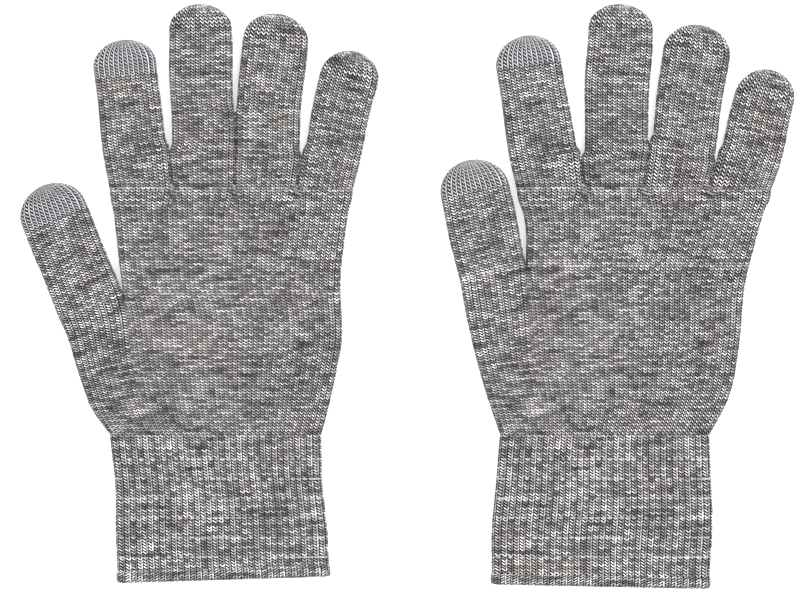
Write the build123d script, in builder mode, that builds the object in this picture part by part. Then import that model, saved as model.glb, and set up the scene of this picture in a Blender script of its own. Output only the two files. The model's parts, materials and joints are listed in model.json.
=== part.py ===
"""A pair of knitted touchscreen gloves, lying flat side by side.

Each glove is a set of knitted tubes: a palm, a ribbed cuff with a turned welt and elastic threads,
four fingers and a thumb, each in two lengths with a fold line between them, and conductive tips on
the index finger and the thumb. X runs across the pair, Y from the cuffs to the fingertips, and Z up
from the surface that the gloves lie on. The origin is on that surface, below the middle of the pair.
"""

import os
from dataclasses import dataclass
from math import cos, radians, sin

from build123d import *

os.makedirs("parts", exist_ok=True)

# ---- The knit, in millimetres ----
loft = 8.0  # height of a relaxed glove that lies flat
knit_wall = 1.3  # thickness of the plain knit in the fingers
palm_wall = 1.2  # the palm's knit is stretched a little thinner
rib_wall = 1.8  # thickness of the ribbed cuff
edge_round = 3.6  # rounding along a tube's folded edges
fold_gap = 0.3  # gap between two pieces that fold against each other
side_gap = 0.6  # gap between two fingers that lie side by side

# ---- Lengths along the glove, from the wrist line ----
slit_foot = 100.2  # foot of the slits between the fingers
knuckle_rise = 7.0  # the knuckle fold, above the foot of the slits
thumb_rise = 7.0  # the thumb's fold, above its crotch
middle_fold_share = 0.5  # where a finger's second fold lies along its length
end_margin = 10.0  # how far an outline runs past the plane that trims it
crotch_round = 0.8  # rounding at the foot of the gap beside the thumb

# ---- Cuff ----
welt_height = 5.0  # the turned edge at the cuff's mouth
welt_round = 3.6  # corners of the cuff's mouth, seen from above
thread_size = 0.7  # a covered elastic thread, across
thread_clearance = 0.05  # around a thread in its channel
thread_count = 6
thread_pitch = 8.0
first_thread = 10.0  # the first thread, below the wrist line

# ---- Stitched tacks at the crotches ----
tack_length = 4.4
tack_width = 3.0
tack_height = 0.5

# ---- The pair ----
pair_spacing = 159.3  # between the two wrist centres


@dataclass
class Finger:
    """A finger tube: three widths, two leans in degrees towards +X, its reach and its rounded cap."""

    foot_width: float
    body_width: float
    tip_width: float
    lean: float  # of the lower half
    tip_lean: float  # of the upper half
    reach: float  # from the foot to the centre of the cap
    cap: float  # height of the rounded cap
    foot: tuple = (0.0, 0.0)  # centre of the foot, set when the glove is laid out

    def middle(self, inset=0.0):
        """Centre line point half way up."""
        return Vector(*self.foot) + heading(self.lean) * (self.reach / 2)

    def cap_centre(self):
        return self.middle() + heading(self.tip_lean) * (self.reach / 2)

    def length(self):
        return self.reach + self.cap

    def along(self, distance):
        """The centre line point that far from the foot."""
        if distance <= self.reach / 2:
            return Vector(*self.foot) + heading(self.lean) * distance
        return self.middle() + heading(self.tip_lean) * (distance - self.reach / 2)


@dataclass
class Glove:
    """One glove as it lies: its fingers, its thumb and its outline, from the wrist centre."""

    name: str
    index_edge: float  # the index finger's outer edge at its foot
    fingers: dict
    thumb: Finger
    outer_side: list  # from the wrist up to the thumb
    inner_side: list  # from under the thumb, past its crotch, up to the index finger
    far_side: list  # from the little finger down to the wrist
    cuff_thumb_side: list  # from the wrist down to the mouth
    cuff_far_side: list
    tip_length: float  # length of the conductive tips


def heading(lean):
    """The direction of a finger that leans that many degrees towards +X."""
    return Vector(sin(radians(lean)), cos(radians(lean)), 0)


def crosswise(lean):
    """Across such a finger, to its +X side. A turn about this axis lifts the fingertip."""
    return Vector(cos(radians(lean)), -sin(radians(lean)), 0)


left_glove = Glove(
    name="left",
    index_edge=-43.5,
    fingers={
        "index": Finger(25.5, 25.9, 25.9, -8.6, -5.6, 51.2, 10.7),
        "middle": Finger(25.0, 25.8, 25.8, -1.5, -1.6, 66.0, 10.1),
        "ring": Finger(24.6, 26.2, 27.0, 1.6, 5.0, 61.2, 11.1),
        "little": Finger(22.2, 23.3, 24.2, 11.1, 12.4, 46.4, 11.5),
    },
    thumb=Finger(28.0, 28.2, 27.5, -21.9, -21.9, 40.7, 12.1, (-51.2, 53.0)),
    outer_side=[(-43.0, 0.0), (-50.5, 10.0), (-55.4, 22.0), (-61.8, 43.0)],
    inner_side=[(-35.5, 20.0), (-37.2, 55.2), (-40.2, 78.4), (-43.5, 100.2)],
    far_side=[(51.6, 71.4), (51.4, 38.4), (48.2, 18.6), (43.0, 0.0)],
    cuff_thumb_side=[(-43.0, 0.0), (-41.3, -22.0), (-40.6, -44.1), (-40.4, -60.6)],
    cuff_far_side=[(43.0, 0.0), (44.3, -23.5), (45.8, -42.0), (47.0, -58.0)],
    tip_length=14.6,
)

right_glove = Glove(
    name="right",
    index_edge=-36.1,
    fingers={
        "index": Finger(27.2, 27.6, 26.7, -10.9, -8.3, 52.0, 12.0),
        "middle": Finger(23.8, 26.3, 26.6, 1.2, 2.8, 66.0, 10.1),
        "ring": Finger(25.6, 26.6, 27.6, 8.3, 7.7, 56.6, 11.6),
        "little": Finger(24.2, 25.0, 24.5, 16.3, 13.1, 38.6, 12.0),
    },
    thumb=Finger(28.2, 28.5, 28.5, -12.6, -12.6, 34.6, 12.4, (-45.8, 66.4)),
    outer_side=[(-42.6, 0.0), (-49.4, 18.6), (-54.6, 40.0), (-60.0, 60.0)],
    inner_side=[(-31.0, 30.0), (-31.2, 66.6), (-32.4, 84.0), (-36.1, 100.2)],
    far_side=[(58.8, 68.0), (55.1, 38.4), (50.9, 15.0), (42.6, 0.0)],
    cuff_thumb_side=[(-42.6, 0.0), (-44.8, -19.4), (-46.2, -42.0), (-46.6, -61.2)],
    cuff_far_side=[(42.6, 0.0), (44.0, -23.0), (43.8, -42.0), (43.1, -63.0)],
    tip_length=12.4,
)


def place_feet(glove):
    """Stands the fingers side by side from the index finger's outer edge, a side gap apart."""
    edge = glove.index_edge
    for finger in glove.fingers.values():
        across = finger.foot_width / cos(radians(finger.lean))
        finger.foot = (edge + across / 2, slit_foot)
        edge += across + side_gap


def pad(sketch, inset, round_radius):
    """A flat outline as a cushion-shaped solid. Its straight ends are trimmed later, so stay sharp."""
    with BuildPart() as cushion:
        with BuildSketch(Plane.XY.offset(inset)):
            add(sketch)
        extrude(amount=loft - 2 * inset)
        levels = cushion.edges().group_by(Axis.Z)
        rims = (levels[0] + levels[-1]).filter_by(GeomType.LINE, reverse=True)
        fillet(rims, radius=round_radius)
    return cushion.part


def finger_pad(finger, inset):
    """A whole finger, from below its foot to its tip, drawn in by the inset."""
    tail = end_margin + knuckle_rise + 2 * inset
    low, high = heading(finger.lean), heading(finger.tip_lean)
    low_side, high_side = crosswise(finger.lean), crosswise(finger.tip_lean)
    start = Vector(*finger.foot) - low * tail
    middle, top = finger.middle(), finger.cap_centre()
    foot_half = finger.foot_width / 2 - inset
    body_half = finger.body_width / 2 - inset
    tip_half = finger.tip_width / 2 - inset
    with BuildSketch() as outline:
        with BuildLine():
            Spline(
                start - low_side * foot_half,
                middle - low_side * body_half,
                top - high_side * tip_half,
                tangents=(low, high),
            )
            EllipticalCenterArc(
                top,
                tip_half,
                finger.cap - inset,
                arc_size=180,
                rotation=-finger.tip_lean,
            )
            Spline(
                top + high_side * tip_half,
                middle + low_side * body_half,
                start + low_side * foot_half,
                tangents=(high * -1, low * -1),
            )
            Line(start + low_side * foot_half, start - low_side * foot_half)
        make_face()
    return pad(outline.sketch, inset, edge_round - inset)


def run_on(points):
    """A side's points, with one more that continues its last stretch past the trimming plane."""
    last, before = Vector(*points[-1]), Vector(*points[-2])
    return [*points, last + (last - before).normalized() * end_margin]


def drawn_in(points, inset):
    """A side's points moved across the glove by the inset, to +X where it is positive."""
    return [Vector(*point) + Vector(inset, 0) for point in points]


def palm_outline(glove, inset):
    """The palm with the thumb's stub, drawn in by the inset and run past the planes that trim it."""
    thumb = glove.thumb
    up, side = heading(thumb.lean), crosswise(thumb.lean)
    stub = Vector(*thumb.foot) + up * (thumb_rise + end_margin)
    stub_left = stub - side * (thumb.body_width / 2 - inset)
    stub_right = stub + side * (thumb.body_width / 2 - inset)
    little = glove.fingers["little"]
    little_edge = (little.foot[0] + little.foot_width / 2 / cos(radians(little.lean)), slit_foot)
    below = Vector(0, -end_margin)

    outer_side = drawn_in(glove.outer_side, inset)
    inner_side = drawn_in(run_on(glove.inner_side), inset)
    far_side = drawn_in(run_on([*glove.far_side[::-1], little_edge]), -inset)
    wrist_left, wrist_right = outer_side[0] + below, far_side[0] + below
    under_thumb = Vector(inner_side[0].X, wrist_left.Y)
    under_stub = stub_right - up * ((stub_right.Y - wrist_left.Y) / up.Y)
    with BuildSketch() as outline:
        with BuildLine():
            Spline(wrist_right, *far_side)
            Line(far_side[-1], inner_side[-1])
            Spline(*inner_side[::-1])
            Polyline(inner_side[0], under_thumb, wrist_right)
        make_face()
        with BuildLine():
            Spline(wrist_left, *outer_side, stub_left, tangents=(Vector(0, 1), up))
            Polyline(stub_left, stub_right, under_stub, wrist_left)
        make_face()
        sides_meet = [v for v in outline.vertices() if on_both_sides(v, stub_right, up)]
        fillet(sides_meet, radius=crotch_round + inset)
    return outline.sketch


def on_both_sides(vertex, stub_right, up):
    """Whether an outline's corner is the thumb's crotch, the one on the line of the stub's side."""
    away = Vector(vertex) - stub_right
    return away.length > 1 and away.cross(up).length < 0.001 and away.dot(up) < 0


def cuff_outline(glove, inset):
    """The cuff, drawn in by the inset and run past the wrist line and its mouth."""
    above = Vector(0, end_margin)
    thumb_side = drawn_in(run_on(glove.cuff_thumb_side), inset)
    far_side = drawn_in(run_on(glove.cuff_far_side), -inset)
    top_left, top_right = thumb_side[0] + above, far_side[0] + above
    with BuildSketch() as outline:
        with BuildLine():
            Spline(top_left, *thumb_side)
            Line(thumb_side[-1], far_side[-1])
            Spline(*far_side[::-1], top_right)
            Line(top_right, top_left)
        make_face()
    return outline.sketch


def fold_plane(point, normal, offset_along=0.0):
    """A plane across the glove at that point, moved along its normal."""
    return Plane(origin=Vector(*point) + normal * offset_along, z_dir=normal)


def keep_between(low_plane, high_plane):
    """Trims the part in hand to what lies between two planes that face the same way."""
    split(bisect_by=low_plane, keep=Keep.TOP)
    if high_plane is not None:
        split(bisect_by=high_plane, keep=Keep.BOTTOM)


def thread_ring(glove, y, growth):
    """An elastic thread that runs round in the middle of the cuff's wall at that height."""
    left_x = side_at(glove.cuff_thumb_side, y)
    right_x = side_at(glove.cuff_far_side, y)
    wall_middle = rib_wall / 2
    outside = thread_size / 2 + growth
    width, height = right_x - left_x - 2 * wall_middle, loft - 2 * wall_middle
    corner = edge_round - wall_middle
    centre = ((left_x + right_x) / 2, y + outside, loft / 2)
    with BuildPart() as ring:
        with BuildSketch(Plane(origin=centre, x_dir=(1, 0, 0), z_dir=(0, -1, 0))):
            RectangleRounded(width + 2 * outside, height + 2 * outside, corner + outside)
            RectangleRounded(
                width - 2 * outside, height - 2 * outside, corner - outside, mode=Mode.SUBTRACT
            )
        extrude(amount=2 * outside)
    return ring.part


def side_at(points, y):
    """Where a cuff's side is at that height, between the two points beside it."""
    for (x0, y0), (x1, y1) in zip(points, points[1:]):
        if y1 <= y <= y0:
            return x0 + (x1 - x0) * (y0 - y) / (y0 - y1)
    raise ValueError("the thread lies outside the cuff")


def finish_piece(piece, label):
    piece.part.label = label
    pieces[label] = piece.part


def make_palm(glove):
    """The palm, with the lowest lengths of the four fingers and of the thumb."""
    outer = pad(palm_outline(glove, 0), 0, edge_round)
    inner = pad(palm_outline(glove, palm_wall), palm_wall, edge_round - palm_wall)
    along = Vector(0, 1)
    slit_plane = fold_plane((0, slit_foot), along)
    end_wall_plane = fold_plane((0, slit_foot), along, -knit_wall)
    room_plane = fold_plane((0, slit_foot), along, -2 * knit_wall)
    knuckle_plane = fold_plane((0, slit_foot + knuckle_rise), along, -fold_gap / 2)
    with BuildPart() as cavity:
        add(inner)
        split(bisect_by=end_wall_plane, keep=Keep.BOTTOM)
    with BuildPart() as palm:
        add(outer)
        keep_between(fold_plane((0, fold_gap / 2), along), slit_plane)
        trim_thumb(glove.thumb)
        add(cavity, mode=Mode.SUBTRACT)
        for finger in glove.fingers.values():
            with BuildPart(mode=Mode.PRIVATE) as stub:
                add(finger_pad(finger, 0))
                keep_between(slit_plane, knuckle_plane)
            add(stub.part)
        for finger in glove.fingers.values():
            with BuildPart(mode=Mode.PRIVATE) as room:
                add(finger_pad(finger, knit_wall))
                split(bisect_by=room_plane, keep=Keep.TOP)
            add(room.part, mode=Mode.SUBTRACT)
    finish_piece(palm, f"{glove.name}_palm")


def trim_thumb(thumb):
    """Cuts off what reaches past the thumb's fold."""
    block_length = 2 * end_margin
    at = Vector(*thumb.foot) + heading(thumb.lean) * (thumb_rise - fold_gap / 2 + block_length / 2)
    with Locations(Location((at.X, at.Y, loft / 2), (0, 0, -thumb.lean))):
        Box(thumb.body_width + side_gap, block_length, loft, mode=Mode.SUBTRACT)


def rounded_mouth(corner, far_corner, up):
    """A block round the cuff's mouth, with the mouth's two corners rounded as seen from above."""
    length = (far_corner - corner).length
    middle = (corner + far_corner) / 2
    with BuildPart() as block:
        with BuildSketch(Plane(origin=middle, x_dir=(far_corner - corner).normalized(), z_dir=(0, 0, 1))):
            with Locations((0, 2 * welt_height)):
                RectangleRounded(length, 4 * welt_height, welt_round)
        extrude(amount=loft)
    return block.part


def make_cuff(glove):
    """The ribbed cuff, its turned welt, and the elastic threads inside the rib."""
    outer = pad(cuff_outline(glove, 0), 0, edge_round)
    inner = pad(cuff_outline(glove, rib_wall), rib_wall, edge_round - rib_wall)
    corner, far_corner = Vector(*glove.cuff_thumb_side[-1]), Vector(*glove.cuff_far_side[-1])
    across = (far_corner - corner).normalized()
    up = Vector(-across.Y, across.X)
    mouth_plane = fold_plane(corner, up)
    welt_plane = fold_plane(corner, up, welt_height)
    heights = [-first_thread - n * thread_pitch for n in range(thread_count)]

    with BuildPart() as cuff:
        add(outer)
        add(inner, mode=Mode.SUBTRACT)
        keep_between(welt_plane, fold_plane((0, -fold_gap / 2), Vector(0, 1)))
        for y in heights:
            add(thread_ring(glove, y, thread_clearance), mode=Mode.SUBTRACT)
    finish_piece(cuff, f"{glove.name}_cuff")

    with BuildPart() as welt:
        add(outer)
        add(inner, mode=Mode.SUBTRACT)
        keep_between(mouth_plane, welt_plane)
        add(rounded_mouth(corner, far_corner, up), mode=Mode.INTERSECT)
    finish_piece(welt, f"{glove.name}_cuff_welt")

    with BuildPart() as elastic:
        for y in heights:
            add(thread_ring(glove, y, 0))
    finish_piece(elastic, f"{glove.name}_cuff_elastic")


def make_finger(glove, name, finger, root_plane, root_point):
    """A finger's lower and upper lengths, and its conductive tip if it has one."""
    outer, inner = finger_pad(finger, 0), finger_pad(finger, knit_wall)
    fold_at = finger.length() * middle_fold_share
    fold_point = finger.along(fold_at)
    fold_lean = finger.lean if fold_at <= finger.reach / 2 else finger.tip_lean
    fold_up = heading(fold_lean)
    has_tip = name in ("index", "thumb")
    tip_up = heading(finger.tip_lean)
    tip_point = finger.cap_centre() + tip_up * (finger.cap - glove.tip_length)
    tip_plane = fold_plane((tip_point.X, tip_point.Y), tip_up)
    fold_xy = (fold_point.X, fold_point.Y)

    with BuildPart() as base:
        add(outer)
        add(inner, mode=Mode.SUBTRACT)
        keep_between(root_plane, fold_plane(fold_xy, fold_up, -fold_gap / 2))
    finish_piece(base, f"{glove.name}_{name}_base")

    with BuildPart() as end:
        add(outer)
        add(inner, mode=Mode.SUBTRACT)
        keep_between(fold_plane(fold_xy, fold_up, fold_gap / 2), tip_plane if has_tip else None)
    finish_piece(end, f"{glove.name}_{name}_end")

    if has_tip:
        with BuildPart() as tip:
            add(outer)
            add(inner, mode=Mode.SUBTRACT)
            split(bisect_by=tip_plane, keep=Keep.TOP)
        finish_piece(tip, f"{glove.name}_{name}_touch_tip")

    folds[f"{glove.name}_{name}_knuckle"] = (root_point, crosswise(0 if name != "thumb" else finger.lean))
    folds[f"{glove.name}_{name}_middle_fold"] = (fold_point, crosswise(fold_lean))


def make_tacks(glove):
    """The small bars of stitches at the foot of each slit, flat on the palm."""
    feet = []
    names = list(glove.fingers)
    for near, far in zip(names, names[1:]):
        finger, other = glove.fingers[near], glove.fingers[far]
        edge = finger.foot[0] + finger.foot_width / 2 / cos(radians(finger.lean))
        other_edge = other.foot[0] - other.foot_width / 2 / cos(radians(other.lean))
        feet.append(((edge + other_edge) / 2, slit_foot, (finger.lean + other.lean) / 2))
    with BuildPart() as tacks:
        for x, y, lean in feet:
            with BuildSketch(Plane.XY.offset(loft)):
                with Locations((x, y)):
                    Ellipse(tack_width / 2, tack_length / 2, rotation=-lean)
            extrude(amount=tack_height)
        fillet(tacks.edges().group_by(Axis.Z)[-1], radius=tack_height * 0.8)
    finish_piece(tacks, f"{glove.name}_crotch_tacks")


def make_glove(glove):
    place_feet(glove)
    make_palm(glove)
    make_cuff(glove)
    make_tacks(glove)
    knuckle_line = slit_foot + knuckle_rise
    knuckle_plane = fold_plane((0, knuckle_line + fold_gap / 2), Vector(0, 1))
    for name, finger in glove.fingers.items():
        up = heading(finger.lean)
        root = Vector(*finger.foot) + up * (knuckle_rise / up.Y)
        make_finger(glove, name, finger, knuckle_plane, root)
    thumb, up = glove.thumb, heading(glove.thumb.lean)
    thumb_root = Vector(*thumb.foot) + up * thumb_rise
    thumb_plane = fold_plane((thumb_root.X, thumb_root.Y), up, fold_gap / 2)
    make_finger(glove, "thumb", thumb, thumb_plane, thumb_root)
    folds[f"{glove.name}_wrist_fold"] = (Vector(0, 0), Vector(-1, 0))


pair = {}
pair_folds = {}
for side, glove in ((-1, left_glove), (1, right_glove)):
    pieces, folds = {}, {}
    make_glove(glove)
    shift = Vector(side * pair_spacing / 2, 0)
    for label, part in pieces.items():
        pair[label] = part.moved(Location(shift))
    for label, (point, axis) in folds.items():
        pair_folds[label] = (point + shift, axis)

box = Compound(list(pair.values())).bounding_box()
centring = Vector(-box.center().X, -box.center().Y, -box.min.Z)
for label, part in pair.items():
    placed = part.moved(Location(centring))
    placed.label = label
    export_step(placed, f"parts/{label}.step")

print("overall size", box.size, "moved by", centring)
for label, (point, axis) in pair_folds.items():
    at = point + centring
    print("fold", label, round(at.X, 3), round(at.Y, 3), round(loft, 3), round(axis.X, 5), round(axis.Y, 5))
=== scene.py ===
import json
import math
import bmesh
import bpy
import numpy as np
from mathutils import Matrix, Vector


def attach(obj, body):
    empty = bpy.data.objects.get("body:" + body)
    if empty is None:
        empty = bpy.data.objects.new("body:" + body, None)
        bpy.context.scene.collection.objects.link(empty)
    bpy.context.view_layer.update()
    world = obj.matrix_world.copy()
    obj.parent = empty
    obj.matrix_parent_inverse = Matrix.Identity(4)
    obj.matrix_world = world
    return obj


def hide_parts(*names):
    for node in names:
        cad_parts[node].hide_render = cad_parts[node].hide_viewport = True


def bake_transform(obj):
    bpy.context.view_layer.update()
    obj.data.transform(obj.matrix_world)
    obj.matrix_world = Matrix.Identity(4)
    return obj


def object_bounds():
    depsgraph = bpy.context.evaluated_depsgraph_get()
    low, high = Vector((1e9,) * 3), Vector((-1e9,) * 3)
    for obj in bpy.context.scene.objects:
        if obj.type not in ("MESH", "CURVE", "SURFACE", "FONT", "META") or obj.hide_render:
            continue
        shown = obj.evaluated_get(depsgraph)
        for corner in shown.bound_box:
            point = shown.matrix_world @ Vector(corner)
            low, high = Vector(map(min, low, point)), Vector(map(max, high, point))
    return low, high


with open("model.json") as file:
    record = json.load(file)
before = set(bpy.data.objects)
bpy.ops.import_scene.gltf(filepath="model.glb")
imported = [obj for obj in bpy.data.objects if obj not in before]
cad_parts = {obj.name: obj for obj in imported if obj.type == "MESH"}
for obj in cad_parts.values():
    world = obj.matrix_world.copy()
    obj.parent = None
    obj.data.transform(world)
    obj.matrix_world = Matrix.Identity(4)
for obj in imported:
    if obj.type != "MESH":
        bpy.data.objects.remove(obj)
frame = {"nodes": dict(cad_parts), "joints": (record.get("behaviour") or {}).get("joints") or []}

cadBox = [list(corner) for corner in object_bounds()]
joints = {joint["name"]: joint for joint in frame["joints"]}
mm = 0.001

# Shapes, in millimetres from each glove's wrist centre, with the fingers towards +Y
tube = {
    "halfLoft": 4.0,
    "edge": 4.4,  # how far in from its side a lying tube starts to turn down
    "edgeKnit": 5.4,  # knit used up by that turn, before it counts as flat
    "edgeShare": 0.45,  # the most of a narrow tube's width that the turn may take
    "course": 1.2,
    "slitFoot": 100.2,
    "sideGap": 0.6,
    "slitOpens": 4.0,  # length over which a shut slit opens
    "halfBend": 7.0,  # a finger's centre line turns this far each side of its middle
    "levelling": 12.0,  # length over which level rows take up a finger's lean
    "capRows": 1.2,  # more rows to the millimetre in a rounded cap
}

leftShape = {
    "fingers": {
        # foot, body and tip widths, lower and upper lean, reach, cap height, wales
        "index": (25.5, 25.9, 25.9, -8.6, -5.6, 51.2, 10.7, 14),
        "middle": (25.0, 25.8, 25.8, -1.5, -1.6, 66.0, 10.1, 14),
        "ring": (24.6, 26.2, 27.0, 1.6, 5.0, 61.2, 11.1, 14),
        "little": (22.2, 23.3, 24.2, 11.1, 12.4, 46.4, 11.5, 13),
    },
    "thumb": (28.0, 28.2, 27.5, -21.9, -21.9, 40.7, 12.1, 15),
    "thumbFoot": (-51.2, 53.0),
    "indexEdge": -43.5,
    "outerSide": [(-43.0, 0.0), (-50.5, 10.0), (-55.4, 22.0), (-61.8, 43.0)],
    "innerSide": [(-37.2, 55.2), (-40.2, 78.4), (-43.5, 100.2)],
    "farSide": [(43.0, 0.0), (48.2, 18.6), (51.4, 38.4), (51.6, 71.4)],
    "cuffThumbSide": [(-40.4, -60.6), (-40.6, -44.1), (-41.3, -22.0), (-43.0, 0.0)],
    "cuffFarSide": [(47.0, -58.0), (45.8, -42.0), (44.3, -23.5), (43.0, 0.0)],
    "slitShut": (15.7, 31.0, 13.7),  # how far up each slit its two edges touch
    "tipLength": 14.6,
}

rightShape = {
    "fingers": {
        "index": (27.2, 27.6, 26.7, -10.9, -8.3, 52.0, 12.0, 14),
        "middle": (23.8, 26.3, 26.6, 1.2, 2.8, 66.0, 10.1, 14),
        "ring": (25.6, 26.6, 27.6, 8.3, 7.7, 56.6, 11.6, 14),
        "little": (24.2, 25.0, 24.5, 16.3, 13.1, 38.6, 12.0, 13),
    },
    "thumb": (28.2, 28.5, 28.5, -12.6, -12.6, 34.6, 12.4, 15),
    "thumbFoot": (-45.8, 66.4),
    "indexEdge": -36.1,
    "outerSide": [(-42.6, 0.0), (-49.4, 18.6), (-54.6, 40.0), (-58.3, 56.0)],
    "innerSide": [(-31.2, 66.6), (-32.4, 84.0), (-36.1, 100.2)],
    "farSide": [(42.6, 0.0), (50.9, 15.0), (55.1, 38.4), (58.8, 68.0)],
    "cuffThumbSide": [(-46.6, -61.2), (-46.2, -42.0), (-44.8, -19.4), (-42.6, 0.0)],
    "cuffFarSide": [(43.1, -63.0), (43.8, -42.0), (44.0, -23.0), (42.6, 0.0)],
    "slitShut": (12.4, 18.2, 12.4),
    "tipLength": 12.4,
}


def ease(t):
    t = np.clip(t, 0.0, 1.0)
    return t * t * (3 - 2 * t)


def sideAt(points, y):  # a smooth edge through the points, read at the height y
    px, py = np.array(points, float).T
    slope = np.gradient(px, py)
    y = np.asarray(y, float)
    i = np.clip(np.searchsorted(py, y) - 1, 0, len(py) - 2)
    step = py[i + 1] - py[i]
    s = np.clip((y - py[i]) / step, 0, 1)
    over = y - py[i] - s * step  # runs on straight past either end
    bend = (
        px[i] * (1 + 2 * s) * (1 - s) ** 2
        + slope[i] * step * s * (1 - s) ** 2
        + px[i + 1] * s * s * (3 - 2 * s)
        - slope[i + 1] * step * s * s * (1 - s)
    )
    return bend + over * np.where(over > 0, slope[i + 1], slope[i])


def acrossTube(u, width):  # offset from the tube's left side, and how high its face has risen
    reach = np.minimum(tube["edge"], tube["edgeShare"] * width)
    turn = reach * tube["edgeKnit"] / tube["edge"]
    q = 2 * np.minimum(u, 1 - u) * (width / 2 - reach + turn)
    angle = np.minimum(q / np.maximum(turn, 1e-6), 1) * math.pi / 2
    inset = reach * (1 - np.cos(angle)) + np.maximum(q - turn, 0)
    return np.where(u < 0.5, inset, width - inset), np.sin(angle)


def heading(lean):
    return np.array((math.sin(math.radians(lean)), math.cos(math.radians(lean))))


# A finger or the thumb, which turns a wale and a row into a place on its lying tube
class Digit:
    def __init__(self, spec, foot, firstWale, tilted):
        (self.footWidth, self.bodyWidth, self.tipWidth, self.lean, self.tipLean,
         self.reach, self.cap, self.wales) = spec
        self.foot, self.firstWale, self.tilted = np.array(foot), firstWale, tilted
        self.rows = round(self.reach / tube["course"])
        self.capRows = round(self.cap / tube["course"] * tube["capRows"])
        self.middle = self.foot + heading(self.lean) * self.reach / 2
        self.fill = [(0.0, 0.0, 1.0), (0.0, 0.0, 1.0)]  # at the foot, per mm, and how far up

    def rowAt(self, distance):
        return distance / self.reach * self.rows

    def place(self, c, row):  # c counts wales from the digit's own edge, and row counts up from its foot
        bend = tube["halfBend"]
        d = np.minimum(row, self.rows) / self.rows * self.reach
        capTurn = np.clip((row - self.rows) / self.capRows, 0, 1) * math.pi / 2
        toTip = ease((d - self.reach / 2 + bend) / (2 * bend))
        lean = self.lean + (self.tipLean - self.lean) * toTip
        rowLean = np.radians(lean * (1 if self.tilted else ease(d / tube["levelling"])))
        lower, upper = heading(self.lean), heading(self.tipLean)
        overMiddle = (d - self.reach / 2) / bend
        bent = bend * np.where(np.abs(overMiddle) < 1, (overMiddle + 1) ** 2 / 4, np.maximum(overMiddle, 0))
        below = d - self.reach / 2 - bent
        up = bent + self.cap * np.sin(capTurn)
        cx = self.middle[0] + lower[0] * below + upper[0] * up
        cy = self.middle[1] + lower[1] * below + upper[1] * up
        half = self.reach / 2
        widths = np.polyfit((0, half, self.reach), (self.footWidth, self.bodyWidth, self.tipWidth), 2)
        width = np.polyval(widths, d)
        if not self.tilted:  # a level row is longer
            width = width / np.cos(math.radians(self.lean) - rowLean)
        width = width * np.maximum(np.cos(capTurn), 1e-4)
        leftFill, rightFill = (
            (near + d * rate) * (1 - ease((d - shut) / tube["slitOpens"])) for near, rate, shut in self.fill
        )
        width = width + leftFill + rightFill
        offset, rise = acrossTube(c / self.wales, width)
        toEnd = self.cap * (1 - np.sin(capTurn)) / tube["edge"]
        rise = rise * np.where(capTurn > 0, np.sqrt(1 - (1 - np.minimum(toEnd, 1)) ** 2), 1)
        along = offset - width / 2 + (rightFill - leftFill) / 2
        return cx + np.cos(rowLean) * along, cy - np.sin(rowLean) * along, rise


palmLook = {
    "lowerWales": 54,  # below the thumb's crotch
    "upperWales": 47,
    "tuck": 0.05,  # share of its height that a tube loses where it tucks under the next
    "crotchPinch": 9.0,  # length over which a palm takes the section of what grows from it
    "slitPinch": 10.0,
    "innerStart": 5.0,  # the inner edge's own points begin this far above the crotch
}


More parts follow.
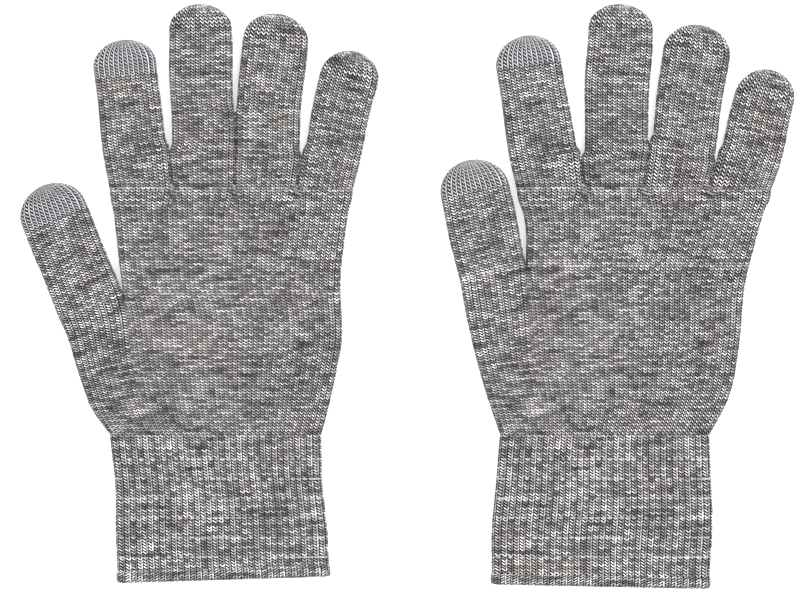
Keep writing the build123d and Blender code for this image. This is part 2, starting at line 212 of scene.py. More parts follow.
# The palm with its thumb and fingers laid out, and the places of its own wales and rows
class Palm:
    def __init__(self, shape):
        thumbFoot = np.array(shape["thumbFoot"])
        self.thumb = Digit(shape["thumb"], thumbFoot, 0, True)
        self.thumbWales = self.thumb.wales
        self.digits, wale, edge = {}, self.thumbWales, shape["indexEdge"]
        for name, spec in shape["fingers"].items():
            across = spec[0] / math.cos(math.radians(spec[3]))
            foot = (edge + across / 2, tube["slitFoot"])
            self.digits[name] = Digit(spec, foot, wale, False)
            wale += spec[7]
            edge += across + tube["sideGap"]
        fingers = list(self.digits.values())
        for near, far, shut in zip(fingers, fingers[1:], shape["slitShut"]):
            spread = math.tan(math.radians(far.lean - near.lean))
            growth = sum((f.bodyWidth - f.footWidth) / f.reach for f in (near, far))
            rate = max(spread - growth, 0) / 2
            near.fill[1] = far.fill[0] = (tube["sideGap"] / 2, rate, shut)
        self.wales = wale
        half = self.thumb.footWidth / 2
        side = np.array((heading(self.thumb.lean)[1], -heading(self.thumb.lean)[0]))
        self.thumbLeft, self.crotch = thumbFoot - side * half, thumbFoot + side * half
        self.lowRows = round(self.crotch[1] / tube["course"])
        self.highRows = round((tube["slitFoot"] - self.crotch[1]) / tube["course"])
        self.rows = self.lowRows + self.highRows
        self.outer = [*shape["outerSide"], tuple(self.thumbLeft)]
        above = self.crotch[1] + palmLook["innerStart"]
        self.inner = [tuple(self.crotch), *[point for point in shape["innerSide"] if point[1] > above]]
        self.far = [*shape["farSide"], (edge - tube["sideGap"], tube["slitFoot"])]

    def footRow(self, c):  # the row that the fingers grow from
        x, rise = np.zeros_like(c), np.zeros_like(c)
        for digit in self.digits.values():
            mine = (c >= digit.firstWale - 1e-9) & (c <= digit.firstWale + digit.wales + 1e-9)
            dx, dy, dr = digit.place(np.where(mine, c - digit.firstWale, 0.0), np.zeros_like(c))
            x, rise = np.where(mine, dx, x), np.where(mine, dr, rise)
        return x, rise

    def low(self, c, row):  # below the thumb's crotch
        t = row / self.lowRows
        n = self.thumbWales
        first, last = self.outer[0][0], sideAt(self.far, 0.0)
        span = last - first
        offset, bottomRise = acrossTube(c / self.wales, span)
        bottomX = first + offset
        thumbX, thumbY, thumbRise = self.thumb.place(np.minimum(c, n), np.zeros_like(c))
        palmWidth = sideAt(self.far, self.crotch[1]) - self.crotch[0]
        palmOffset, palmRise = acrossTube(np.maximum(c - n, 0) / (self.wales - n), palmWidth)
        onThumb = c < n
        topX = np.where(onThumb, thumbX, self.crotch[0] + palmOffset)
        topY = np.where(onThumb, thumbY, self.crotch[1])
        topRise = np.where(onThumb, thumbRise, palmRise)
        v = offset / span
        leftY, rightY = self.thumbLeft[1] * t, self.crotch[1] * t
        leftX, rightX = sideAt(self.outer, leftY), sideAt(self.far, rightY)
        farTop = sideAt(self.far, self.crotch[1])
        leftPull = leftX - ((1 - t) * first + t * self.thumbLeft[0])
        rightPull = rightX - ((1 - t) * last + t * farTop)
        x = (1 - t) * bottomX + t * topX + (1 - v) * leftPull + v * rightPull
        pinch = ease((t - 1) * self.crotch[1] / palmLook["crotchPinch"] + 1)
        return x, t * topY, bottomRise * (1 - pinch) + topRise * pinch

    def high(self, c, row):  # above the thumb's crotch
        y = self.crotch[1] + (row - self.lowRows) / self.highRows * (tube["slitFoot"] - self.crotch[1])
        left, right = sideAt(self.inner, y), sideAt(self.far, y)
        n = self.thumbWales
        offset, rise = acrossTube((c - n) / (self.wales - n), right - left)
        topX, topRise = self.footRow(c)
        pinch = ease((y - tube["slitFoot"]) / palmLook["slitPinch"] + 1)
        return left + offset + pinch * (topX - left - offset), y, rise + pinch * (topRise - rise)


# One loop of plain knit: a long leg down to the right and a short steep one back up
loop = {
    "columns": (0.0, 0.3, 0.6, 0.8),  # shares of a wale, the third is the foot of the V
    "relief": (0.0, 1.0, 0.35, 0.8),
    "foot": 0.6,
    "drop": 0.9,  # in courses
    "height": 0.4,
    "rows": 2,  # rows of mesh in each course
    "leastRelief": 0.7,  # and up to this much more, loop by loop
    "reliefSpread": 0.6,
    "seed": 3,
    "sunk": 0.5,  # share of the relief that lies below the cloth's middle
    "tipRows": 5,  # the courses run straight over the last rows of a closed tip
    "tipRelief": 0.3,
    "longLeg": (0.03, 0.16, 0.66, 0.48),  # starts, is full, is gone, starts to go
    "steepLeg": (0.62, 0.74, 0.99, 0.86),
    "streak": (0.16, 7.31),  # drawn out along a course, and unlike the next one
    "strand": (3.2, 1.6, 3.0),
}

lying = {
    "slack": 0.22,
    "underSlack": 0.4,  # share of it in the face that lies on the table
    "inside": 0.25,  # room left for the relief
    "sink": 0.1,
    "wobble": 0.25,
    "rise": 0.05,  # distance over which the cloth's slope is taken, in wales and courses
}


def hashNoise(a, b, seed):
    wave = np.sin(a * 127.1 + b * 311.7 + seed * 74.7) * 43758.5453
    return wave - np.floor(wave)


def waves(x, y):  # slow unevenness of a glove that was pulled off and smoothed down
    return (
        0.5 * np.sin(x / 7.3 + 1.7 * np.sin(y / 17.0))
        + 0.3 * np.sin(y / 5.1 + x / 23.0)
        + 0.2 * np.sin(x / 3.1 - y / 4.3)
    )


# One tube of loops, all the way round; a tip that closes has rows that straighten out
def clothGrid(place, firstWale, wales, firstRow, lastRow, centre, closes=False, ribs=None, depth=0.0):
    columns = np.array([w + share for w in range(2 * wales) for share in loop["columns"]])
    kind = np.tile(np.arange(len(loop["columns"])), 2 * wales)
    rows = np.arange(round((lastRow - firstRow) * loop["rows"]) + 1) / loop["rows"] + firstRow
    s, k = np.meshgrid(columns, rows)
    share = s - np.floor(s)
    fall = -loop["drop"] * np.minimum(share / loop["foot"], (1 - share) / (1 - loop["foot"]))

    def spot(s, k):
        s = np.mod(s, 2 * wales)
        front = s <= wales
        c = np.where(front, s, 2 * wales - s)
        x, y, rise = place(c + firstWale, k)
        side = np.where(front, 1.0, -1.0)
        half = tube["halfLoft"] - depth
        slack = lying["slack"] * waves(x, y) * rise * np.where(front, 1.0, lying["underSlack"])
        z = tube["halfLoft"] + side * (half * rise - lying["inside"]) + slack - lying["sink"]
        wobble = lying["wobble"] * np.sin(y / 6.1 + x / 31.0)
        return np.stack((x + wobble, y, z), axis=-1)

    fade = np.ones_like(k)
    if closes:
        fade = np.clip((lastRow - k) / loop["tipRows"], 0, 1)
    fallen = k + fall * fade
    here = spot(s, fallen)
    step = lying["rise"]
    around = spot(s + step, fallen) - spot(s - step, fallen)
    upward = spot(s, fallen + step) - spot(s, fallen - step)
    normal = np.cross(around, upward)
    normal /= np.maximum(np.linalg.norm(normal, axis=-1, keepdims=True), 1e-9)
    relief = np.array(loop["relief"])[kind]
    uneven = hashNoise(np.floor(s) + firstWale, np.floor(k), loop["seed"])
    raised = relief[None, :] * (np.mod(k * loop["rows"], loop["rows"]) < 0.5)
    raised = raised * (loop["leastRelief"] + loop["reliefSpread"] * uneven)
    lift = loop["height"] * (raised - loop["sunk"] * (relief > 0)) * np.maximum(fade, loop["tipRelief"])
    if ribs:
        lift = lift + ribs(here, s)
    here = here + normal * lift[..., None]
    here = (here + np.array([centre[0], centre[1], 0])) * mm
    return {"points": here, "u": s + firstWale, "v": fallen, "around": 2 * wales}


bakeLayout = {"between": 0.01, "scale": 0.996, "edge": 0.002}
weldDistance = 1.5e-6  # metres
quadCorners = ((0, 0), (0, 1), (1, 1), (1, 0))  # steps up the rows and along the columns


# One mesh from closed tubes, with a UV map that counts wales and courses and one that never overlaps
def joinGrids(name, grids, material):
    verts, faces, knitUv, bakeUv = [], [], [], []
    base = 0
    total = len(grids)
    for index, grid in enumerate(grids):
        points = grid["points"]
        rows, cols = points.shape[:2]
        verts.append(points.reshape(-1, 3))
        r, c = np.meshgrid(np.arange(rows - 1), np.arange(cols), indexing="ij")
        nextC = (c + 1) % cols
        quad = np.stack((r * cols + c, r * cols + nextC, (r + 1) * cols + nextC, (r + 1) * cols + c), -1)
        faces.append(quad.reshape(-1, 4) + base)
        u, v = grid["u"], grid["v"]
        wrapU = np.concatenate((u, u[:, :1] + grid["around"]), axis=1)
        wrapV = np.concatenate((v, v[:, :1]), axis=1)
        low = (index + bakeLayout["between"]) / total
        high = (index + 1 - bakeLayout["between"]) / total
        knit, bake = [], []
        for up, on in quadCorners:
            knit.append(np.stack((wrapU[r + up, c + on], wrapV[r + up, c + on]), -1))
            bake.append(np.stack(((c + on) / cols, low + (high - low) * (r + up) / (rows - 1)), -1))
        knitUv.append(np.stack(knit, -2).reshape(-1, 2))
        bakeUv.append(np.stack(bake, -2).reshape(-1, 2) * bakeLayout["scale"] + bakeLayout["edge"])
        base += rows * cols
    mesh = bpy.data.meshes.new(name)
    mesh.from_pydata(np.concatenate(verts).tolist(), [], np.concatenate(faces).tolist())
    for layerName, data in (("Knit", knitUv), ("OFBake", bakeUv)):
        layer = mesh.uv_layers.new(name=layerName)
        layer.data.foreach_set("uv", np.concatenate(data).astype(np.float32).ravel())
    mesh.polygons.foreach_set("use_smooth", [True] * len(mesh.polygons))
    mesh.materials.append(material)
    piece = bpy.data.objects.new(name, mesh)
    bpy.context.collection.objects.link(piece)
    work = bmesh.new()
    work.from_mesh(mesh)
    bmesh.ops.remove_doubles(work, verts=work.verts, dist=weldDistance)
    work.to_mesh(mesh)
    work.free()
    mesh.validate()
    return piece


# Node helpers: a socket or a plain number may be given for each input
def put(tree, kind, inputs=(), **settings):
    node = tree.nodes.new(kind)
    for key, value in settings.items():
        setattr(node, key, value)
    for socket, value in dict(inputs).items() if isinstance(inputs, dict) else enumerate(inputs):
        if isinstance(value, bpy.types.NodeSocket):
            tree.links.new(value, node.inputs[socket])
        elif value is not None:
            node.inputs[socket].default_value = value
    return node


def calc(tree, operation, *values, clamp=False):
    return put(tree, "ShaderNodeMath", values, operation=operation, use_clamp=clamp).outputs[0]


def ramp(tree, value, low, high, outLow=0.0, outHigh=1.0):
    node = put(tree, "ShaderNodeMapRange", (value, low, high, outLow, outHigh),
               interpolation_type="SMOOTHSTEP")
    return node.outputs[0]


def newGroup(name, inputs, outputs):
    group = bpy.data.node_groups.new(name, "ShaderNodeTree")
    for label, kind, value in inputs:
        socket = group.interface.new_socket(label, in_out="INPUT", socket_type=kind)
        if value is not None:
            socket.default_value = value
    for label, kind in outputs:
        group.interface.new_socket(label, in_out="OUTPUT", socket_type=kind)
    return group, group.nodes.new("NodeGroupInput").outputs, group.nodes.new("NodeGroupOutput").inputs


def knitLoopsGroup():  # where the yarn lies within each loop, with painted shade on the steep leg, between the courses and on the deeper rib wales
    group, given, out = newGroup(
        "knitLoops",
        [("Cloth", "NodeSocketVector", None), ("Row Gap Shade", "NodeSocketFloat", 0.5),
         ("Steep Leg Painted Light", "NodeSocketFloat", 0.6), ("Rib Recess Shade", "NodeSocketFloat", 0.0)],
        [("Yarn", "NodeSocketFloat"), ("Stitch", "NodeSocketFloat"), ("Streak", "NodeSocketFloat"),
         ("Strand", "NodeSocketFloat")],
    )
    split = put(group, "ShaderNodeSeparateXYZ", (given["Cloth"],)).outputs
    u, v = split[0], split[1]
    share = calc(group, "FRACT", u)
    fallIn = calc(group, "DIVIDE", share, loop["foot"])
    fallOut = calc(group, "DIVIDE", calc(group, "SUBTRACT", 1.0, share), 1 - loop["foot"])
    fall = calc(group, "MULTIPLY", calc(group, "MINIMUM", fallIn, fallOut), loop["drop"])
    q = calc(group, "ADD", v, fall)  # whole at the middle of each leg
    wave = calc(group, "COSINE", calc(group, "MULTIPLY", q, 2 * math.pi))
    row = ramp(group, wave, 0.0, 1.0)

    def leg(limits):
        return calc(group, "MULTIPLY", ramp(group, share, *limits[:2]), ramp(group, share, *limits[2:]))

    longLeg, steepLeg = leg(loop["longLeg"]), leg(loop["steepLeg"])
    # painted light: the steep leg darkens towards the gaps between courses, and is scaled against the long
    # leg as light from one side would shade it
    steepRowShade = calc(group, "ADD", calc(group, "MULTIPLY", row, given["Row Gap Shade"]),
                    calc(group, "SUBTRACT", 1.0, given["Row Gap Shade"]))
    steep = calc(group, "MULTIPLY", calc(group, "MULTIPLY", steepLeg, steepRowShade), given["Steep Leg Painted Light"])
    # painted shade: every other wale of a rib lies deeper and is darkened
    parity = calc(group, "MODULO", calc(group, "FLOOR", u), 2.0)
    ribShade = calc(group, "SUBTRACT", 1.0, calc(group, "MULTIPLY", parity, given["Rib Recess Shade"]))
    steep = calc(group, "MULTIPLY", steep, ribShade)
    # the long leg fades out into the painted shade of the gaps between courses
    yarn = calc(group, "MAXIMUM", calc(group, "MULTIPLY", longLeg, row), steep)
    course = calc(group, "ROUND", q)
    cell = put(group, "ShaderNodeCombineXYZ", (calc(group, "FLOOR", u), course, 0.0)).outputs[0]
    stitch = put(group, "ShaderNodeTexWhiteNoise", (cell,), noise_dimensions="3D").outputs["Value"]
    drawnOut, apart = loop["streak"]
    line = put(group, "ShaderNodeCombineXYZ",
               (calc(group, "MULTIPLY", u, drawnOut), calc(group, "MULTIPLY", course, apart), 0.0)).outputs[0]
    streak = put(group, "ShaderNodeTexNoise", {"Vector": line, "Scale": 1.0, "Detail": 1.0},
                 noise_dimensions="3D").outputs[0]
    across, along, layer = loop["strand"]
    fine = put(group, "ShaderNodeCombineXYZ",
               (calc(group, "MULTIPLY", u, across), calc(group, "MULTIPLY", q, along), layer)).outputs[0]
    strand = put(group, "ShaderNodeTexNoise", {"Vector": fine, "Scale": 1.0, "Detail": 3.0}).outputs[0]
    for label, value in (("Yarn", yarn), ("Stitch", stitch), ("Streak", streak), ("Strand", strand)):
        group.links.new(value, out[label])
    return group


wool = {
    "patchScale": 90.0,
    "tintScale": 55.0,
    "tintFrom": 0.35,
    "tintTo": 0.65,
    "strands": 0.9,
    "strandHeight": 0.35,
}


# Marled wool with painted shade: near-black gaps between the yarn legs, legs that differ stitch by stitch,
# streaks and faint warm and cool patches
def melangeAndGapShadeGroup():
    group, given, out = newGroup(
        "melangeAndGapShade",
        [("Yarn", "NodeSocketFloat", 1.0), ("Stitch", "NodeSocketFloat", 0.5),
         ("Streak", "NodeSocketFloat", 0.5), ("Strand", "NodeSocketFloat", 0.5),
         ("Place", "NodeSocketVector", None), ("Painted Gap Shade", "NodeSocketFloat", 0.03),
         ("Yarn Grey", "NodeSocketFloat", 0.4), ("Marl", "NodeSocketFloat", 0.6),
         ("Streaks", "NodeSocketFloat", 0.6), ("Patches", "NodeSocketFloat", 0.25),
         ("Cool Tint", "NodeSocketColor", (0.95, 0.98, 1.05, 1)),
         ("Warm Tint", "NodeSocketColor", (1.04, 1.0, 0.95, 1))],
        [("Color", "NodeSocketColor"), ("Height", "NodeSocketFloat")],
    )
    patch = put(group, "ShaderNodeTexNoise",
                {"Vector": given["Place"], "Scale": wool["patchScale"], "Detail": 2.0}).outputs[0]
    tint = put(group, "ShaderNodeTexNoise",
               {"Vector": given["Place"], "Scale": wool["tintScale"], "Detail": 3.0}).outputs[0]

    def swing(value, amount):
        return calc(group, "MULTIPLY_ADD", calc(group, "SUBTRACT", value, 0.5), amount, 1.0)

    tone = calc(group, "MULTIPLY", given["Yarn Grey"], swing(given["Stitch"], given["Marl"]))
    streakAmount = calc(group, "MULTIPLY", given["Streaks"], 2.0)
    tone = calc(group, "MULTIPLY", tone, swing(given["Streak"], streakAmount))
    tone = calc(group, "MULTIPLY", tone, swing(patch, calc(group, "MULTIPLY", given["Patches"], 2.0)))
    tone = calc(group, "MULTIPLY", tone, swing(given["Strand"], wool["strands"]))
    # painted shade: where the yarn mask falls away, between the legs and the courses, the colour drops to a
    # near-black grey
    aboveGapShade = calc(group, "SUBTRACT", tone, given["Painted Gap Shade"])
    grey = calc(group, "MULTIPLY_ADD", given["Yarn"], aboveGapShade, given["Painted Gap Shade"])
    warmth = ramp(group, tint, wool["tintFrom"], wool["tintTo"])
    hue = put(group, "ShaderNodeMix", {0: warmth, 6: given["Cool Tint"], 7: given["Warm Tint"]},
              data_type="RGBA").outputs[2]
    colour = put(group, "ShaderNodeVectorMath", {0: hue, "Scale": grey}, operation="SCALE")
    group.links.new(colour.outputs[0], out["Color"])
    height = calc(group, "MULTIPLY_ADD", given["Strand"], wool["strandHeight"], given["Yarn"])
    group.links.new(height, out["Height"])
    return group


groups = {"knitLoops": knitLoopsGroup(), "melangeAndGapShade": melangeAndGapShadeGroup()}


def yarnMaterial(name, look):
    material = bpy.data.materials.new(name)
    material.use_nodes = True
    tree = material.node_tree
    shader = tree.nodes["Principled BSDF"]
    cloth = put(tree, "ShaderNodeUVMap", uv_map="Knit").outputs[0]
    place = put(tree, "ShaderNodeTexCoord").outputs["Object"]
    loops = put(tree, "ShaderNodeGroup", node_tree=groups["knitLoops"])
    tree.links.new(cloth, loops.inputs["Cloth"])
    # painted light and shade of the loops: course gaps, steep leg and deeper rib wales
    loops.inputs["Row Gap Shade"].default_value = look["rowGapShade"]
    loops.inputs["Steep Leg Painted Light"].default_value = look["steepLeg"]
    loops.inputs["Rib Recess Shade"].default_value = look["rib"]
    melangeAndGapShade = put(tree, "ShaderNodeGroup", node_tree=groups["melangeAndGapShade"])
    for label in ("Yarn", "Stitch", "Streak", "Strand"):
        tree.links.new(loops.outputs[label], melangeAndGapShade.inputs[label])
    tree.links.new(place, melangeAndGapShade.inputs["Place"])
    # the first of these is the near-black painted shade between the yarn legs
    for label, key in (("Painted Gap Shade", "gapShade"), ("Yarn Grey", "yarn"), ("Marl", "marl"), ("Streaks", "streaks"),
                       ("Patches", "patches"), ("Cool Tint", "cool"), ("Warm Tint", "warm")):
        melangeAndGapShade.inputs[label].default_value = look[key]
    tree.links.new(melangeAndGapShade.outputs["Color"], shader.inputs["Base Color"])
    bump = put(tree, "ShaderNodeBump", {"Strength": look["bump"], "Distance": look["bumpDepth"]})
    tree.links.new(melangeAndGapShade.outputs["Height"], bump.inputs["Height"])
    tree.links.new(bump.outputs[0], shader.inputs["Normal"])
    shader.inputs["Roughness"].default_value = look["roughness"]
    shader.inputs["Specular IOR Level"].default_value = look["specular"]
    shader.inputs["Sheen Weight"].default_value = look["sheen"]
    shader.inputs["Sheen Roughness"].default_value = look["sheenRoughness"]
    return material


# the gap, row gap, steep leg and rib values paint light and shade: near-black gaps between yarn legs, steep
# legs shaded towards the gaps between courses and lit or shaded against the long legs, and the deeper rib
# wales darkened
plainLook = {"gapShade": 0.006, "yarn": 0.92, "marl": 1.1, "streaks": 1.3, "patches": 0.5, "rowGapShade": 0.85,
             "steepLeg": 0.72, "rib": 0.0, "bump": 0.8, "bumpDepth": 0.0004, "roughness": 0.9,
             "specular": 0.2, "sheen": 0.0, "sheenRoughness": 0.6,
             "cool": (1.0, 0.985, 1.0, 1), "warm": (1.04, 0.995, 0.975, 1)}
ribLook = {**plainLook, "rowGapShade": 0.6, "steepLeg": 0.85, "rib": 0.5}
touchLook = {**plainLook, "gapShade": 0.012, "yarn": 0.7, "marl": 0.35, "streaks": 0.15, "patches": 0.15,
             "rowGapShade": 0.3, "steepLeg": 1.1, "cool": (0.97, 0.98, 1.05, 1), "warm": (0.99, 0.99, 1.02, 1)}
materials = {
    "melangeKnit": yarnMaterial("melangeKnit", plainLook),
    "ribKnit": yarnMaterial("ribKnit", ribLook),
    "touchKnit": yarnMaterial("touchKnit", touchLook),
}
print("materials ready")


def hinge(name):  # the fold's place, and the way that the cloth runs across it
    joint = joints[name]
    pos, axis = np.array(joint["pos_m"]), joint["axis"]
    return pos, np.array((-axis[1], axis[0], 0.0))


def bendOver(piece, jointName, before, after):
    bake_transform(piece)


cuffLook = {
    "wales": 37,
    "wall": 1.8,
    "ribHeight": 0.32,
    "ribRound": 0.7,
    "ribFade": 8.0,  # the rib sets in over this length below the wrist
    "tuckIn": 0.5,  # at the wrist line, under the palm
    "tuckRows": 1.2,
    "tuckStart": 0.3,
    "tuckDrop": 4.0,
    "topRow": 1.0,
    "weltOverlap": 1.2,
    "bend": (0.0, 8.0),  # lengths before and after the wrist fold
}


def cuffDepth(shape):
    return -(shape["cuffThumbSide"][0][1] + shape["cuffFarSide"][0][1]) / 2


def cuffPlace(shape, inset):  # row 0 is the wrist line, and rows count down as the cuff goes down
    thumbSide, farSide = shape["cuffThumbSide"], shape["cuffFarSide"]
    leftEnd, rightEnd = thumbSide[0][1], farSide[0][1]
    depth = cuffDepth(shape)

    def place(c, row):
        t = row * tube["course"] / depth
        left = sideAt(thumbSide, t * -leftEnd) + inset
        right = sideAt(farSide, t * -rightEnd) - inset
        tucked = ease(row / cuffLook["tuckRows"] + cuffLook["tuckStart"]) * cuffLook["tuckIn"]
        offset, rise = acrossTube(c / cuffLook["wales"], right - left - 2 * tucked)
        share = offset / (right - left)
        y = t * -(leftEnd + (rightEnd - leftEnd) * share)
        return left + tucked + offset, y, rise * (1 - tucked / cuffLook["tuckDrop"])

    return place


def ribs(here, s):  # every other wale lies deeper
    down = ease(-here[..., 1] / cuffLook["ribFade"])
    whole = np.floor(s)
    valley = np.where(np.mod(whole, 2) < 1, 0.0, -1.0)
    return cuffLook["ribHeight"] * valley * np.sin(math.pi * (s - whole)) ** cuffLook["ribRound"] * down


def makeCuff(side, shape, centre):
    wales, wall, topRow = cuffLook["wales"], cuffLook["wall"], cuffLook["topRow"]
    rowsDown = (cuffDepth(shape) - weltLook["height"] + cuffLook["weltOverlap"]) / tube["course"]
    lastRow = -round(rowsDown * loop["rows"]) / loop["rows"]
    outer = clothGrid(cuffPlace(shape, 0.0), 0, wales, lastRow, topRow, centre, ribs=ribs)
    inner = clothGrid(cuffPlace(shape, wall), 0, wales, lastRow, topRow, centre, depth=wall)
    cuff = joinGrids(f"{side}_ribbedCuff", [outer, inner], materials["ribKnit"])
    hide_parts(f"{side}_cuff")
    bendOver(cuff, f"{side}_wrist_fold", *cuffLook["bend"])


weltLook = {
    "height": 5.0,
    "plump": 0.25,  # thicker than half the cuff's wall
    "seat": 0.15,
    "points": 24,  # round its section
    "flat": 0.95,
    "dent": 0.16,
    "probe": (0.3, 0.9),  # a step towards the welt's core, for the way out of it
}


# The welt: the same rib turned back on itself round the mouth
def makeWelt(side, shape, centre):
    wales, depth = cuffLook["wales"], cuffDepth(shape)
    around = np.array([w + share for w in range(2 * wales) for share in loop["columns"]])
    halfWall, tall = cuffLook["wall"] / 2 + weltLook["plump"], weltLook["height"] / 2
    straight = 2 * (tall - halfWall)
    girth = 2 * straight + 2 * math.pi * halfWall
    profile = []
    # down the outside, round the rim, up the inside and over
    for way in np.arange(weltLook["points"]) / weltLook["points"] * girth:
        turned = (way - straight) / halfWall
        turnedBack = (way - 2 * straight - math.pi * halfWall) / halfWall
        if way < straight:
            profile.append((halfWall, straight / 2 - way))
        elif turned < math.pi:
            profile.append((halfWall * math.cos(turned), -straight / 2 - halfWall * math.sin(turned)))
        elif turnedBack < 0:
            profile.append((-halfWall, -straight / 2 + way - straight - math.pi * halfWall))
        else:
            profile.append((-halfWall * math.cos(turnedBack), straight / 2 + halfWall * math.sin(turnedBack)))
    profile = np.array(profile)
    mouthRow = -(depth - tall) / tube["course"]

    def ring(s, inset, up):
        s = np.mod(s, 2 * wales)
        front = s <= wales
        c = np.where(front, s, 2 * wales - s)
        x, y, rise = cuffPlace(shape, inset)(c, mouthRow + up / tube["course"])
        z = tube["halfLoft"] + np.where(front, 1, -1) * rise * (tube["halfLoft"] - inset) * weltLook["flat"]
        return np.stack((x, y, z), -1)

    s, p = np.meshgrid(around, np.arange(len(profile)))
    inset = halfWall - weltLook["seat"] - profile[p, 0]
    up = profile[p, 1]
    body = ring(s, inset, up)
    dent = weltLook["dent"] * np.sin(math.pi * (s - np.floor(s)))[..., None] * np.cos(p * math.pi)[..., None]
    inward, shorter = weltLook["probe"]
    outDir = body - ring(s, inset + inward, up * shorter)
    outDir /= np.maximum(np.linalg.norm(outDir, axis=-1, keepdims=True), 1e-9)
    body = (body + outDir * dent + np.array([centre[0], centre[1], 0])) * mm
    grid = {"points": np.concatenate((body, body[:1])), "around": 2 * wales,
            "u": np.concatenate((s, s[:1])), "v": np.concatenate((p, p[:1] + len(profile))) * 0.5}
    welt = joinGrids(f"{side}_cuffWelt", [grid], materials["ribKnit"])
    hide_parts(f"{side}_cuff_welt")
    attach(welt, f"{side}_cuff")


digitLook = {
    "foldBack": 7.2,  # the two lengths meet this far below the finger's half length
    "knuckleBend": (5.8, 7.0),  # lengths before and after a fold
    "middleBend": (6.0, 6.0),
}


def makeDigit(side, name, digit, palm, centre, tipLength, hasTouchTip):
    footRow = palm.lowRows if name == "thumb" else palm.rows
    length = digit.reach + digit.cap

    def place(c, row):
        return digit.place(c - digit.firstWale, row - footRow)

    middle = footRow + round(digit.rowAt(length / 2 - digitLook["foldBack"]))
    tipRow = footRow + round(digit.rowAt(length - tipLength))
    topRow = footRow + digit.rows + digit.capRows
    knit = materials["melangeKnit"]

    base = joinGrids(f"{side}_{name}Lower",
                     [clothGrid(place, digit.firstWale, digit.wales, footRow, middle, centre)],
                     knit)
    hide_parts(f"{side}_{name}_base")
    bendOver(base, f"{side}_{name}_knuckle", *digitLook["knuckleBend"])
    last = tipRow if hasTouchTip else topRow
    end = joinGrids(f"{side}_{name}Upper",
                    [clothGrid(place, digit.firstWale, digit.wales, middle, last, centre, not hasTouchTip)],
                    knit)
    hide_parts(f"{side}_{name}_end")
    bendOver(end, f"{side}_{name}_middle_fold", *digitLook["middleBend"])
    if hasTouchTip:
        tip = joinGrids(f"{side}_{name}TouchTip",
                        [clothGrid(place, digit.firstWale, digit.wales, tipRow, topRow, centre, True)],
                        materials["touchKnit"])
        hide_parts(f"{side}_{name}_touch_tip")
        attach(tip, f"{side}_{name}_end")


tack = {
    "yarn": 0.34,
    "loops": 3,
    "start": 1.2,  # the first loop, above the slit's foot
    "spacing": 1.3,
    "sink": 0.15,  # each loop lies this much lower than the last
    "route": ((-1.5, 0.6, 7.2), (-0.9, 0.5, 8.0), (0.0, 0.0, 8.2), (0.9, -0.5, 8.0), (1.5, -0.7, 7.2)),
}


# Small slanting loops that close the foot of each slit
def makeTacks(side, palm, centre):
    curve = bpy.data.curves.new(f"{side}_slitTacks", "CURVE")
    curve.dimensions = "3D"
    curve.bevel_depth = tack["yarn"] * mm
    curve.bevel_resolution = 2
    digits = list(palm.digits.values())
    for near, far in zip(digits, digits[1:]):
        edge = near.foot[0] + near.footWidth / 2 / math.cos(math.radians(near.lean)) + tube["sideGap"] / 2
        for i in range(tack["loops"]):
            y = tube["slitFoot"] + tack["start"] - i * tack["spacing"]
            spline = curve.splines.new("NURBS")
            spline.points.add(len(tack["route"]) - 1)
            for point, (dx, dy, z) in zip(spline.points, tack["route"]):
                z = z - tack["sink"] * i
                point.co = ((edge + dx + centre[0]) * mm, (y + dy + centre[1]) * mm, z * mm, 1)
            spline.use_endpoint_u = True
            spline.order_u = 3
    rough = bpy.data.objects.new(f"{side}_slitTacksRoute", curve)
    bpy.context.collection.objects.link(rough)
    bpy.context.view_layer.update()
    mesh = bpy.data.meshes.new_from_object(rough.evaluated_get(bpy.context.evaluated_depsgraph_get()))
    bpy.data.objects.remove(rough)
    piece = bpy.data.objects.new(f"{side}_slitTacks", mesh)
    bpy.context.collection.objects.link(piece)
    mesh.materials.clear()
    mesh.materials.append(materials["tackYarn"])
    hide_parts(f"{side}_crotch_tacks")
    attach(piece, f"{side}_palm")


yarnLook = {
    "fibreScale": 900.0,
    "from": 0.35,
    "to": 0.65,
    "bump": 0.5,
    "bumpDepth": 0.0002,
    "roughness": 0.85,
}


def plainYarn(name, dark, light):
    material = bpy.data.materials.new(name)
    material.use_nodes = True
    tree = material.node_tree
    shader = tree.nodes["Principled BSDF"]
    place = put(tree, "ShaderNodeTexCoord").outputs["Object"]
    fibre = put(tree, "ShaderNodeTexNoise",
                {"Vector": place, "Scale": yarnLook["fibreScale"], "Detail": 3.0}).outputs[0]
    lightness = ramp(tree, fibre, yarnLook["from"], yarnLook["to"])
    mix = put(tree, "ShaderNodeMix", {0: lightness, 6: dark, 7: light}, data_type="RGBA")
    tree.links.new(mix.outputs[2], shader.inputs["Base Color"])
    bump = put(tree, "ShaderNodeBump",
               {"Strength": yarnLook["bump"], "Distance": yarnLook["bumpDepth"], "Height": fibre})
    tree.links.new(bump.outputs[0], shader.inputs["Normal"])
    shader.inputs["Roughness"].default_value = yarnLook["roughness"]
    return material


materials["tackYarn"] = plainYarn("tackYarn", (0.06, 0.058, 0.06, 1), (0.42, 0.41, 0.4, 1))
materials["elasticThread"] = plainYarn("elasticThread", (0.25, 0.25, 0.25, 1), (0.5, 0.5, 0.5, 1))


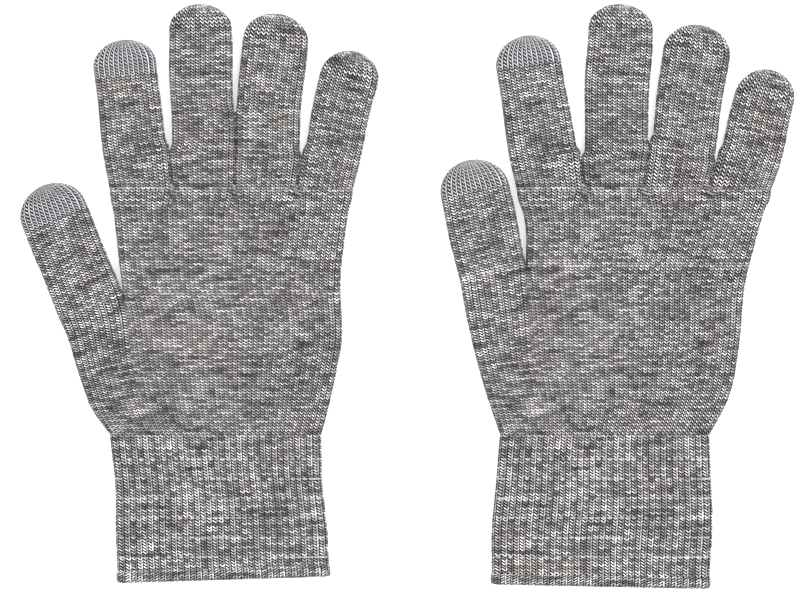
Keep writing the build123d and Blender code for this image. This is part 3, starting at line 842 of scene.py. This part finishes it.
def makePalm(side, palm, centre):
    n = palm.thumbWales

    def lowerPlace(c, row):  # below the thumb the glove is shaped to fewer wales, and tucks under the rest
        x, y, rise = palm.low(c / palmLook["lowerWales"] * palm.wales, row)
        return x, y, rise * (1 - palmLook["tuck"] * ease(row - palm.lowRows))

    low = clothGrid(lowerPlace, 0, palmLook["lowerWales"], 0, palm.lowRows + 1, centre)

    def upperPlace(c, row):  # and so does the palm under its fingers
        x, y, rise = palm.high(n + c / palmLook["upperWales"] * (palm.wales - n), row)
        return x, y, rise * (1 - palmLook["tuck"] * ease(row - palm.rows))

    high = clothGrid(upperPlace, 0, palmLook["upperWales"], palm.lowRows, palm.rows + 1, centre)
    piece = joinGrids(f"{side}_palmKnit", [low, high], materials["melangeKnit"])
    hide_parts(f"{side}_palm")
    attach(piece, f"{side}_palm")


def makeGlove(side, shape):
    wrist = hinge(f"{side}_wrist_fold")[0] / mm
    centre = (wrist[0], wrist[1])
    palm = Palm(shape)
    makePalm(side, palm, centre)
    print(side, "palm knitted")
    makeDigit(side, "thumb", palm.thumb, palm, centre, shape["tipLength"], True)
    for name, digit in palm.digits.items():
        makeDigit(side, name, digit, palm, centre, shape["tipLength"], name == "index")
    print(side, "thumb and fingers knitted")
    makeCuff(side, shape, centre)
    makeWelt(side, shape, centre)
    makeTacks(side, palm, centre)
    print(side, "cuff, welt and tacks knitted")
    elastic = frame["nodes"][f"{side}_cuff_elastic"]
    elastic.data.materials.clear()
    elastic.data.materials.append(materials["elasticThread"])
    print(side, "glove finished")


makeGlove("left", leftShape)
makeGlove("right", rightShape)


# Stage
studio = {
    "floor": 3.0,
    "floorDrop": 0.0003,
    "paper": (0.95, 0.95, 0.95, 1),
    "glow": 0.45,
    "world": 1.25,
    "key": 12.0,
    "keySize": 0.6,
    "keyPlace": (0.55, 0.75, 0.9),
    "distance": 1.6,
    "across": 0.3266,  # width of the view at the gloves' upper face
    "aside": (0.0031, 0.0012),
    "film": 36,
    "farthest": 20,
}
low, high = (Vector(corner) for corner in cadBox)
middle = (low + high) / 2

bpy.ops.mesh.primitive_plane_add(size=studio["floor"], location=(middle.x, middle.y, -studio["floorDrop"]))
floor = bpy.context.object
floor.name = "studioFloor"
paper = bpy.data.materials.new("studioPaper")
paper.use_nodes = True
paperShader = paper.node_tree.nodes["Principled BSDF"]
paperShader.inputs["Base Color"].default_value = studio["paper"]
paperShader.inputs["Roughness"].default_value = 1.0
paperShader.inputs["Emission Color"].default_value = (1, 1, 1, 1)
paperShader.inputs["Emission Strength"].default_value = studio["glow"]
floor.data.materials.append(paper)

world = bpy.data.worlds.new("studioWorld")
world.use_nodes = True
world.node_tree.nodes["Background"].inputs["Color"].default_value = (1, 1, 1, 1)
world.node_tree.nodes["Background"].inputs["Strength"].default_value = studio["world"]
bpy.context.scene.world = world

lamp = bpy.data.lights.new("keyLamp", "AREA")
lamp.energy = studio["key"]
lamp.size = studio["keySize"]
lampObject = bpy.data.objects.new("keyLamp", lamp)
lampObject.location = middle + Vector(studio["keyPlace"])
lampObject.rotation_euler = (middle - lampObject.location).to_track_quat("-Z", "Y").to_euler()
bpy.context.collection.objects.link(lampObject)

camera = bpy.data.objects.new("studioCamera", bpy.data.cameras.new("studioCamera"))
camera.data.sensor_width = studio["film"]
camera.data.lens = studio["film"] * (studio["distance"] - high.z) / studio["across"]
camera.data.clip_end = studio["farthest"]
camera.location = (middle.x - studio["aside"][0], middle.y - studio["aside"][1], studio["distance"])
bpy.context.collection.objects.link(camera)
bpy.context.scene.camera = camera
bpy.context.scene.view_settings.view_transform = "Standard"
print("stage set")
